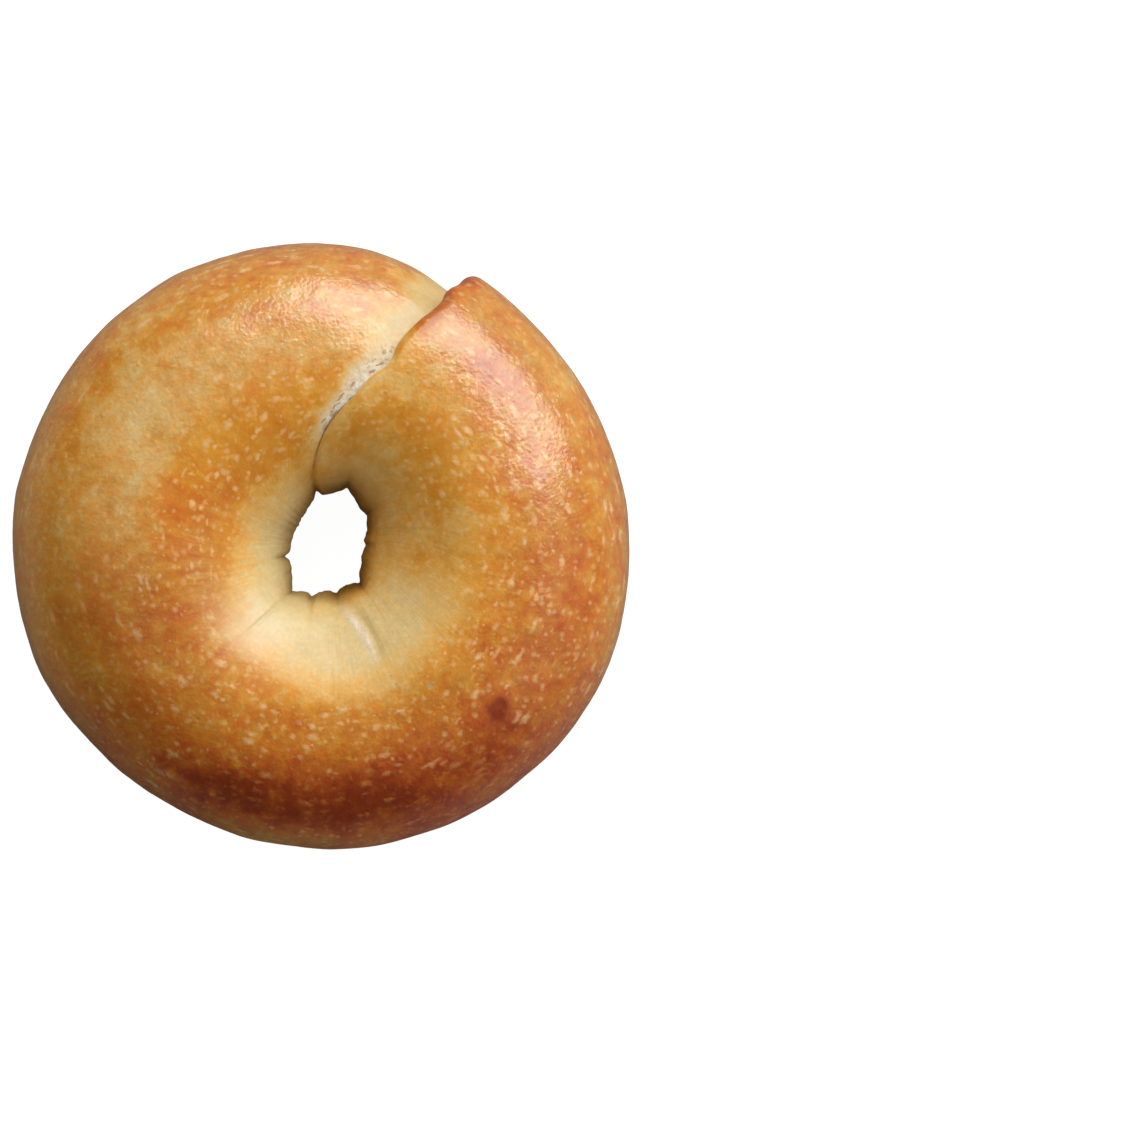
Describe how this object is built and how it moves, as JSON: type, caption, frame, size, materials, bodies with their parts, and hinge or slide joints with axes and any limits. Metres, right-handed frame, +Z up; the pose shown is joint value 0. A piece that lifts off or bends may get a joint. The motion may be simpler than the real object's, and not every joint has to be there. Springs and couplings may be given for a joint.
{
  "type": "bagel",
  "caption": "Plain whole bagel, a ring of golden brown boiled and baked dough with a lapped join and a small oval hole, resting crust up.",
  "frame": {"origin": "under the middle of the bagel's bounding box, at the level it rests on", "axes": "+Z up through the hole, +X and +Y level, with the lap of the two dough ends reaching the rim about 62 degrees round from +X towards +Y"},
  "size_m": [0.1114, 0.1092, 0.038],
  "materials": {
    "crust": null
  },
  "bodies": {
    "root": {"bagel": "crust"}
  },
  "joints": []
}
